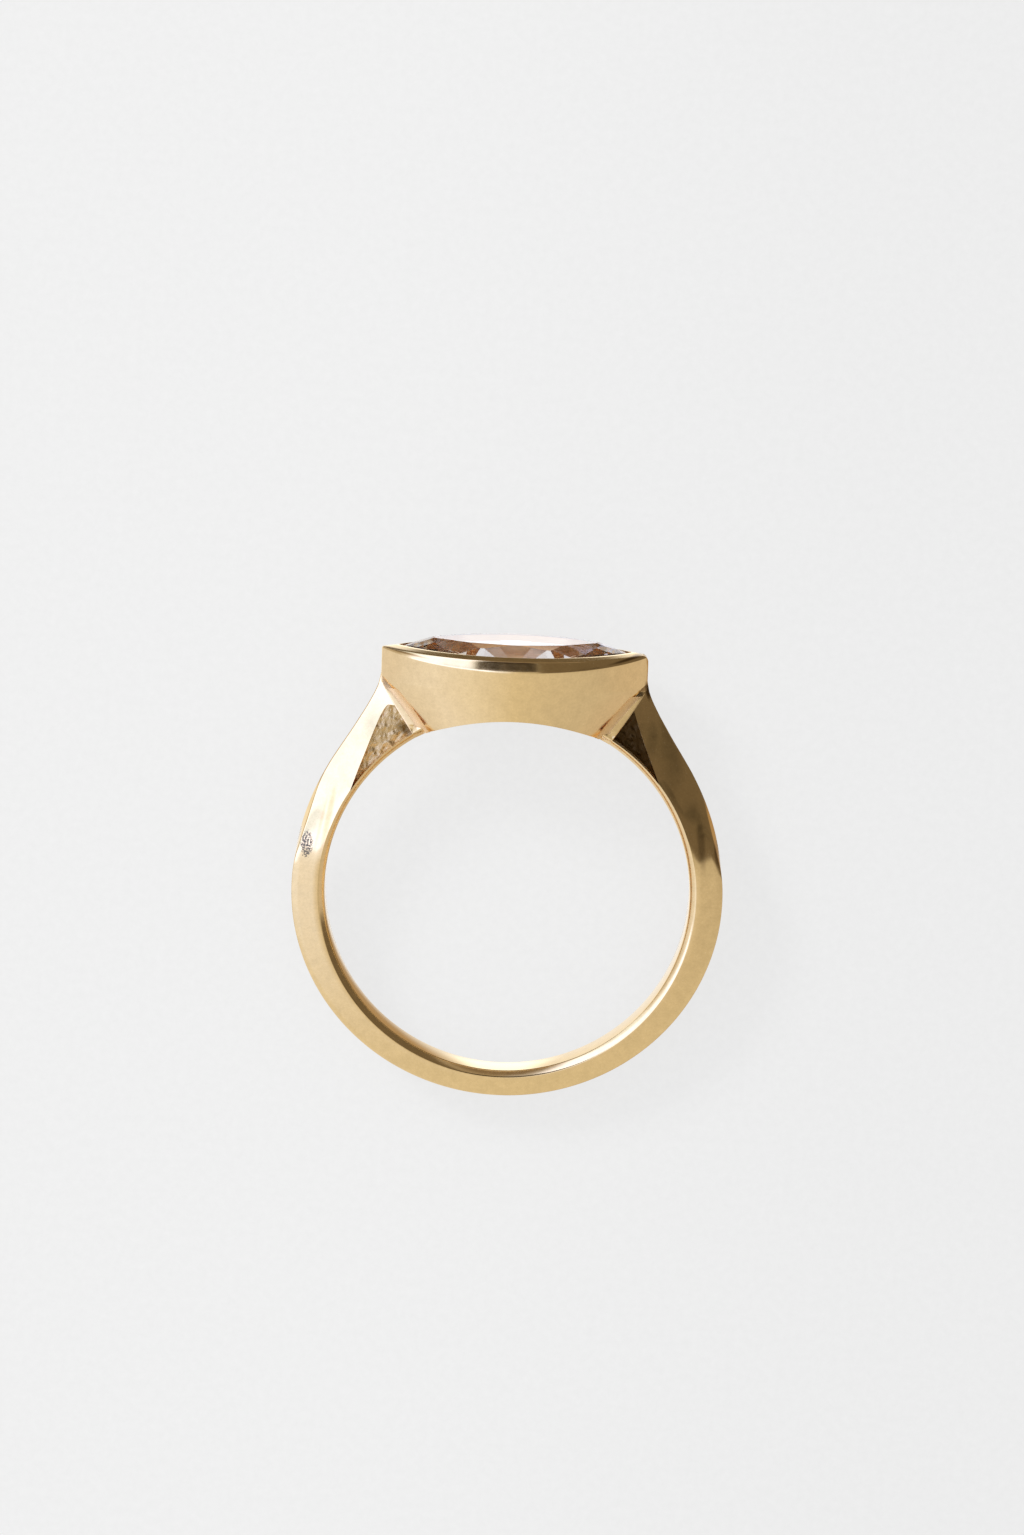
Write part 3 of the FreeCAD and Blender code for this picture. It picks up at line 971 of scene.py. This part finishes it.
def gem():
    """Clear stone with facets tinted as painted reflections, and painted gold reflection and
    sparkle towards its tips.
    """
    material = bpy.data.materials.new("gem")
    material.use_nodes = True
    tree = material.node_tree
    shader = tree.nodes["Principled BSDF"]
    shader.inputs["Roughness"].default_value = 0.0
    shader.inputs["IOR"].default_value = GEM_IOR
    shader.inputs["Transmission Weight"].default_value = 1.0
    facet = tree.nodes.new("ShaderNodeVectorMath")
    facet.operation = "SNAP"
    facet.inputs[1].default_value = (FACET_STEP, FACET_STEP, FACET_STEP)
    tree.links.new(tree.nodes.new("ShaderNodeNewGeometry").outputs["True Normal"], facet.inputs[0])
    chance = tree.nodes.new("ShaderNodeTexWhiteNoise")
    tree.links.new(facet.outputs[0], chance.inputs["Vector"])
    # Each facet draws a painted reflection tint.
    tint = graded(tree, chance.outputs["Value"], PAINTED_FACET_REFLECTIONS)

    # Towards the tips, where there are many small facets, the colour holds a painted
    # reflection of the cup's gold and painted sparkle.
    cell_place = tree.nodes.new("ShaderNodeMapping")
    cell_place.inputs["Scale"].default_value = tuple(rate / MM for rate in SPARKLE_RATES)
    object_place = tree.nodes.new("ShaderNodeTexCoord").outputs["Object"]
    tree.links.new(object_place, cell_place.inputs["Vector"])
    cells = tree.nodes.new("ShaderNodeTexVoronoi")
    cells.inputs["Scale"].default_value = 1.0
    tree.links.new(cell_place.outputs[0], cells.inputs["Vector"])
    sparkle = tree.nodes.new("ShaderNodeSeparateColor")
    tree.links.new(cells.outputs["Color"], sparkle.inputs[0])
    parts = tree.nodes.new("ShaderNodeSeparateXYZ")
    tree.links.new(cell_place.outputs[0], parts.inputs[0])
    off_middle = calculate(tree, "ABSOLUTE", parts.outputs[0])
    gold_start, gold_full, cells_full = (x * SPARKLE_RATES[0] for x in SPARKLE_REACHES)
    tint = blend(tree, ramp(tree, off_middle, gold_start, gold_full), tint, PAINTED_CUP_REFLECTION)
    share = ramp(tree, off_middle, gold_full, cells_full)
    tint = blend(tree, share, tint, graded(tree, sparkle.outputs[0], PAINTED_SPARKLE))
    tree.links.new(tint, shader.inputs["Base Color"])
    return material


def build():
    """The two pieces, each named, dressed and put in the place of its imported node."""
    ring = metal_piece()
    ring.name = "ring_metal"
    ring.data.transform(TO_WORLD)
    ring.data.polygons.foreach_set("use_smooth", [True] * len(ring.data.polygons))
    ring.data.set_sharp_from_angle(angle=SHARP_ANGLE)
    weighted = ring.modifiers.new("even_shading", "WEIGHTED_NORMAL")
    weighted.mode = "FACE_AREA"
    weighted.keep_sharp = True
    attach(ring, "root")
    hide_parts("shank_and_bezel")
    stone = link("cut_stone", stone_mesh())
    stone.data.transform(TO_WORLD)
    stone.data.materials.append(gem())
    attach(stone, "root")
    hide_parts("stone")


# Floor, light and camera

# The photograph's size, its scale at the ring, and the middle of the finger hole.
PHOTO_WIDTH = 1024
PHOTO_HEIGHT = 1535
PIXELS_PER_MM = 22.06
HOLE_PIXEL = (507, 890)
# The camera's angle above the bore's axis, its distance, and its roll.
VIEW_RISE = math.radians(12.7)
VIEW_DISTANCE = 200.0
ROLL = math.radians(2.0)

# The lamp and the floor are in metres.
LAMP_PLACE = (-0.55, 0.50, 0.45)
LAMP_SIZE = 0.25
LAMP_ENERGY = 6.0
FLOOR_REACH = 1.0
# The paper: what it reflects, what it gives off, its fibres' frequency and tones, and
# where its painted shade, darker to the right, starts and ends, and by how much.
PAPER_ALBEDO = 0.08
PAPER_GLOW = 0.769
FIBRE_RATE = 2500
FIBRE_TONES = (0.975, 1.01)
PAPER_SHADING = (-0.012, 0.022)
PAPER_DARKEST = 0.965


def camera():
    """Looks nearly along the bore, with the finger hole where the photograph has it."""
    right = Vector((1, 0, 0))
    up = Vector((0, math.cos(VIEW_RISE), -math.sin(VIEW_RISE)))
    towards_viewer = Vector((0, math.sin(VIEW_RISE), math.cos(VIEW_RISE)))
    image_x = right * math.cos(ROLL) + up * math.sin(ROLL)
    image_y = up * math.cos(ROLL) - right * math.sin(ROLL)
    aim = (
        image_x * (PHOTO_WIDTH / 2 - HOLE_PIXEL[0]) + image_y * (HOLE_PIXEL[1] - PHOTO_HEIGHT / 2)
    ) / PIXELS_PER_MM
    stand = towards_viewer * VIEW_DISTANCE
    look = (aim - stand).normalized()
    side = look.cross(image_y).normalized()
    above = side.cross(look)
    matrix = Matrix((side, above, -look)).transposed().to_4x4()
    matrix.translation = stand * MM
    data = bpy.data.cameras.new("camera")
    data.sensor_width = 36.0
    data.lens = data.sensor_width / 2 * VIEW_DISTANCE * PIXELS_PER_MM / (PHOTO_HEIGHT / 2)
    data.clip_start = 0.005
    data.clip_end = 10.0
    eye = bpy.data.objects.new("camera", data)
    bpy.context.scene.collection.objects.link(eye)
    turn = TIP_BACK.to_3x3() @ matrix.to_3x3()
    eye.matrix_world = Matrix.Translation(TIP_BACK @ matrix.translation) @ turn.to_4x4()
    bpy.context.scene.camera = eye


def lamp():
    """A soft light from the upper left, for a faint shadow to the lower right."""
    data = bpy.data.lights.new("soft_light", "AREA")
    data.shape = "DISK"
    data.size = LAMP_SIZE
    data.energy = LAMP_ENERGY
    light = bpy.data.objects.new("soft_light", data)
    bpy.context.scene.collection.objects.link(light)
    light.location = LAMP_PLACE
    light.rotation_euler = (-light.location).to_track_quat("-Z", "Y").to_euler()
    light.visible_glossy = False
    light.visible_transmission = False


def grey(level):
    """A colour without a tint."""
    return (level, level, level)


def floor():
    """White paper that is mostly a light of its own, so that its shadow stays soft."""
    mesh = bpy.data.meshes.new("floor")
    quarters = ((-1, -1), (1, -1), (1, 1), (-1, 1))
    corners = [(x * FLOOR_REACH, y * FLOOR_REACH, 0) for x, y in quarters]
    mesh.from_pydata(corners, [], [(0, 1, 2, 3)])
    ground = link("floor", mesh)
    ground.location.z = FLOOR_HEIGHT
    material = bpy.data.materials.new("floor")
    material.use_nodes = True
    tree = material.node_tree
    shader = tree.nodes["Principled BSDF"]
    shader.inputs["Base Color"].default_value = (*grey(PAPER_ALBEDO), 1)
    shader.inputs["Roughness"].default_value = 1.0
    shader.inputs["Specular IOR Level"].default_value = 0.0
    shader.inputs["Emission Strength"].default_value = PAPER_GLOW
    place = tree.nodes.new("ShaderNodeTexCoord").outputs["Object"]
    fibres = ramp(tree, noise_of(tree, place, FIBRE_RATE, 4, 0.7), 0.3, 0.7, smooth=False)
    paper = blend(tree, fibres, *(grey(tone) for tone in FIBRE_TONES))
    parts = tree.nodes.new("ShaderNodeSeparateXYZ")
    tree.links.new(place, parts.inputs[0])
    # Painted shade: the paper gets darker towards the right.
    to_right = ramp(tree, parts.outputs[0], *PAPER_SHADING)
    darker = blend(tree, 1.0, paper, grey(PAPER_DARKEST), "MULTIPLY")
    paper = blend(tree, to_right, paper, darker)
    tree.links.new(paper, shader.inputs["Emission Color"])
    ground.data.materials.append(material)
    ground.visible_glossy = False


# What the polished metal mirrors, by direction seen from the ring. Each row is a
# soft-edged patch, laid over those before it: the range around the ring, from 0
# towards the viewer to 180 behind, with left negative, the range up towards the head,
# the softness of its edges, its colour, which may be brighter than white, and whether
# it is the same on both sides.
MIRRORED = (
    (-200, -125, -30, 24, 6, (1.00, 1.01, 1.03), False),
    (165, 200, -30, 24, 6, (1.00, 1.01, 1.03), False),
    (-200, -174, 8, 26, 3, (1.62, 1.74, 1.88), False),
    (174, 200, 8, 26, 3, (1.62, 1.74, 1.88), False),
    (116, 170, -30, 24, 5, (0.45, 0.32, 0.18), False),
    (95, 200, 27, 66, 4, (0.155, 0.125, 0.085), True),
    (-78, -15, -5, 18, 3, (1.50, 1.75, 3.00), False),
    (-78, -32, 18, 66, 4, (1.50, 1.75, 2.90), False),
    (-52, -30, 14, 25, 3, (1.02, 1.30, 2.12), False),
    (-124, -78, 30, 70, 5, (1.00, 1.20, 1.70), False),
    (-120, -86, 4, 26, 6, (0.55, 0.52, 0.50), False),
    (-28, 17, 21, 64, 3, (0.048, 0.040, 0.034), False),
    (17, 128, -4, 64, 3, (0.165, 0.135, 0.10), False),
    (38, 62, 15, 21, 2, (0.09, 0.075, 0.055), False),
    (-200, 200, 66, 100, 8, (0.24, 0.19, 0.15), False),
)
# A patch with no colour above this level is streaked, and its streaks are lighter by
# this factor. How often they come per degree, how much of that holds upwards, and the
# levels between which one starts.
STREAKED_BELOW = 0.15
STREAK_GAIN = 2.4
STREAK_RATE = 0.16
STREAK_UPWARDS = 0.2
STREAK_EDGE = (0.45, 0.66)

# The low surroundings in front, by direction from left to right, at the height
# that the band's face mirrors and at the height that the bezel's wall mirrors. The
# first turns into the second between the two rises.
FRONT_RISES = (-12, -21)
FRONT_LEVEL = (
    (-95, (0.81, 0.83, 0.96)),
    (-50, (0.97, 1.07, 1.40)),
    (-9, (0.98, 1.09, 1.50)),
    (0, (0.73, 0.70, 0.66)),
    (9, (0.58, 0.55, 0.50)),
    (45, (0.57, 0.54, 0.50)),
    (95, (0.65, 0.60, 0.56)),
)
FRONT_LOW = (
    (-95, (0.81, 0.84, 0.98)),
    (-60, (0.89, 0.94, 1.15)),
    (-33, (0.86, 0.89, 1.00)),
    (0, (0.73, 0.71, 0.66)),
    (32, (0.66, 0.64, 0.61)),
    (62, (0.62, 0.60, 0.58)),
    (95, (0.64, 0.59, 0.56)),
)

# Rays that come through the stone see this colour instead, by this share.
STONE_SURROUNDINGS = (0.80, 0.72, 0.64)
STONE_SHARE = 0.65


def world():
    """Surroundings for mirrored and transmitted rays, and plain white for the others."""
    scene_world = bpy.data.worlds.new("studio")
    bpy.context.scene.world = scene_world
    scene_world.use_nodes = True
    tree = scene_world.node_tree
    background = tree.nodes["Background"]
    around = tree.nodes.new("ShaderNodeTexCoord")
    turned = tree.nodes.new("ShaderNodeVectorRotate")
    turned.rotation_type = "X_AXIS"
    turned.inputs["Angle"].default_value = -TIP_BACK.to_euler().x
    tree.links.new(around.outputs["Generated"], turned.inputs["Vector"])
    parts = tree.nodes.new("ShaderNodeSeparateXYZ")
    tree.links.new(turned.outputs[0], parts.inputs[0])
    to_degrees = math.degrees(1)
    turn_radians = calculate(tree, "ARCTAN2", parts.outputs[0], parts.outputs[2])
    turn = calculate(tree, "MULTIPLY", turn_radians, to_degrees)
    rise = calculate(tree, "MULTIPLY", calculate(tree, "ARCSINE", parts.outputs[1]), to_degrees)
    both = calculate(tree, "ABSOLUTE", turn)
    at_level, at_low = (graded(tree, turn, stops) for stops in (FRONT_LEVEL, FRONT_LOW))
    colour = blend(tree, ramp(tree, rise, *FRONT_RISES), at_level, at_low)
    streak_place = tree.nodes.new("ShaderNodeCombineXYZ")
    tree.links.new(turn, streak_place.inputs[0])
    tree.links.new(calculate(tree, "MULTIPLY", rise, STREAK_UPWARDS), streak_place.inputs[1])
    streaks = noise_of(tree, streak_place.outputs[0], STREAK_RATE, 6, 0.7)
    streaky = ramp(tree, streaks, *STREAK_EDGE)
    for first, last, bottom, top, soft, tint, same in MIRRORED:
        across = band(tree, both if same else turn, first, last, soft)
        share = calculate(tree, "MULTIPLY", across, band(tree, rise, bottom, top, soft))
        if max(tint) < STREAKED_BELOW:
            light = tuple(c * STREAK_GAIN for c in tint)
            tint = blend(tree, streaky, tint, light)
        colour = blend(tree, share, colour, tint)
    path = tree.nodes.new("ShaderNodeLightPath")
    through_stone = calculate(tree, "MINIMUM", path.outputs["Transmission Depth"], 1.0)
    milder = blend(tree, STONE_SHARE, colour, STONE_SURROUNDINGS)
    colour = blend(tree, through_stone, colour, milder)
    seen = blend(tree, path.outputs["Is Glossy Ray"], (1.0, 1.0, 1.0), colour)
    tree.links.new(seen, background.inputs["Color"])
    scene_world.cycles.sampling_method = "NONE"


camera()
build()
floor()
lamp()
world()
bpy.context.scene.view_settings.view_transform = "Standard"
bpy.context.scene.cycles.max_bounces = 32
bpy.context.scene.cycles.glossy_bounces = 16
bpy.context.scene.cycles.transmission_bounces = 24
